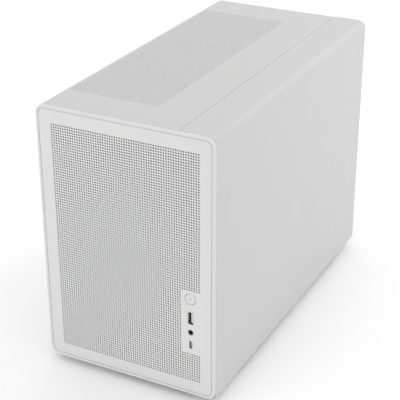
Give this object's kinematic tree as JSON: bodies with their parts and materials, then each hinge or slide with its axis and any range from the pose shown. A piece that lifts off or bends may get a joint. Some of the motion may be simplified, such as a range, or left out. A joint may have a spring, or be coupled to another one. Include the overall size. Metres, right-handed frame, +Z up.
{
  "type": "desktop computer tower",
  "caption": "Compact white desktop computer tower with a perforated front and top, a front port column and round power button, and the whole computer inside.",
  "frame": {"origin": "under the middle of the body, on the floor that the feet stand on", "axes": "+Z up, the front faces -Y, +X is the right side seen from the front"},
  "size_m": [0.205, 0.412, 0.308],
  "materials": {
    "white_plastic": "fine spark texture",
    "white_paint": "fine powder coat",
    "filter_mesh": "fine woven mesh",
    "clear_lens": "smoked lens",
    "black_plastic": "moulded",
    "light_plastic": "moulded",
    "plated_steel": "nickel plated",
    "black_paint": "powder coat",
    "circuit_board": "solder mask on glass laminate",
    "fins": "bare stamped",
    "rubber_pad": "matte",
    "lead_jacket": "satin jacket"
  },
  "bodies": {
    "chassis": {"front_frame": "white_plastic", "power_switch": "plated_steel", "button_guide": "black_plastic", "io_bracket": "black_plastic", "io_board": "circuit_board", "usb_a_shell": "plated_steel", "usb_a_tongue": "light_plastic", "headset_socket": "black_plastic", "usb_c_shell": "plated_steel", "usb_c_tongue": "black_plastic", "panel_clips": "black_plastic", "chassis_front": "white_paint", "chassis_base": "white_paint", "chassis_top": "white_paint", "rear_panel": "white_paint", "motherboard_tray": "white_paint", "feet": "white_plastic", "foot_pads": "rubber_pad", "filter_rails": "white_plastic", "psu_case": "black_paint", "psu_electronics": "circuit_board", "psu_grille": "plated_steel", "mains_inlet": "black_plastic", "mains_lead": "lead_jacket", "motherboard": "circuit_board", "board_parts": "black_plastic", "rear_ports": "plated_steel", "io_shield": "plated_steel", "memory_modules": "circuit_board", "cpu_cooler": "fins", "cpu_fan_frame": "black_plastic", "graphics_card": "circuit_board", "card_cooler": "fins", "card_shroud": "black_plastic", "slot_covers": "white_paint", "fan_frames": "black_plastic", "screws": "plated_steel", "drive": "fins"},
    "front_cover": {"front_panel": "white_plastic", "front_studs": "white_plastic", "front_filter": "filter_mesh"},
    "button": {"power_button": "white_plastic", "power_lens": "clear_lens", "switch_plunger": "black_plastic"},
    "top_cover": {"top_panel": "white_paint", "top_studs": "white_plastic", "top_filter": "filter_mesh"},
    "left_cover": {"left_side_panel": "white_paint", "left_studs": "white_plastic"},
    "right_cover": {"right_side_panel": "white_paint", "right_studs": "white_plastic"},
    "floor_filter": {"bottom_filter": "filter_mesh"},
    "rocker": {"psu_rocker": "black_plastic"},
    "supply_fan": {"psu_rotor": "black_plastic"},
    "processor_fan": {"cpu_fan_rotor": "black_plastic"},
    "card_fan_front": {"card_rotor_1": "black_plastic"},
    "card_fan_rear": {"card_rotor_2": "black_plastic"},
    "top_fan_front": {"top_front_rotor": "black_plastic"},
    "top_fan_rear": {"top_rear_rotor": "black_plastic"},
    "rear_fan": {"rear_rotor": "black_plastic"}
  },
  "joints": [
    {"name": "power_button_press", "type": "slide", "parent": "chassis", "child": "button", "axis": [0, 1, 0], "range_m": [0, 0.0015], "stiffness_N_per_m": 600, "springref_m": -0.001},
    {"name": "front_panel_pull", "type": "slide", "parent": "chassis", "child": "front_cover", "axis": [0, -1, 0], "range_m": [0, 0.06]},
    {"name": "top_panel_lift", "type": "slide", "parent": "chassis", "child": "top_cover", "axis": [0, 0, 1], "range_m": [0, 0.05]},
    {"name": "left_panel_pull", "type": "slide", "parent": "chassis", "child": "left_cover", "axis": [-1, 0, 0], "range_m": [0, 0.06]},
    {"name": "right_panel_pull", "type": "slide", "parent": "chassis", "child": "right_cover", "axis": [1, 0, 0], "range_m": [0, 0.06]},
    {"name": "floor_filter_pull", "type": "slide", "parent": "chassis", "child": "floor_filter", "axis": [0, 1, 0], "range_m": [0, 0.24]},
    {"name": "supply_rocker_tilt", "type": "hinge", "parent": "chassis", "child": "rocker", "pos_m": [-0.0195, -0.132, 0.119], "axis": [1, 0, 0], "range_deg": [-16, 0]},
    {"name": "supply_fan_spin", "type": "hinge", "parent": "chassis", "child": "supply_fan", "pos_m": [-0.0165, -0.159, 0.189], "axis": [0, 1, 0], "continuous": true},
    {"name": "processor_fan_spin", "type": "hinge", "parent": "chassis", "child": "processor_fan", "pos_m": [-0.0091, 0.0715, 0.209], "axis": [0, 1, 0], "continuous": true},
    {"name": "card_fan_front_spin", "type": "hinge", "parent": "chassis", "child": "card_fan_front", "pos_m": [0.0039, 0.018, 0.06996], "axis": [0, 0, 1], "continuous": true},
    {"name": "card_fan_rear_spin", "type": "hinge", "parent": "chassis", "child": "card_fan_rear", "pos_m": [0.0039, 0.108, 0.06996], "axis": [0, 0, 1], "continuous": true},
    {"name": "top_fan_front_spin", "type": "hinge", "parent": "chassis", "child": "top_fan_front", "pos_m": [-0.035, -0.0125, 0.289], "axis": [0, 0, 1], "continuous": true},
    {"name": "top_fan_rear_spin", "type": "hinge", "parent": "chassis", "child": "top_fan_rear", "pos_m": [-0.035, 0.1085, 0.289], "axis": [0, 0, 1], "continuous": true},
    {"name": "rear_fan_spin", "type": "hinge", "parent": "chassis", "child": "rear_fan", "pos_m": [-0.035, 0.185, 0.21], "axis": [0, 1, 0], "continuous": true}
  ]
}
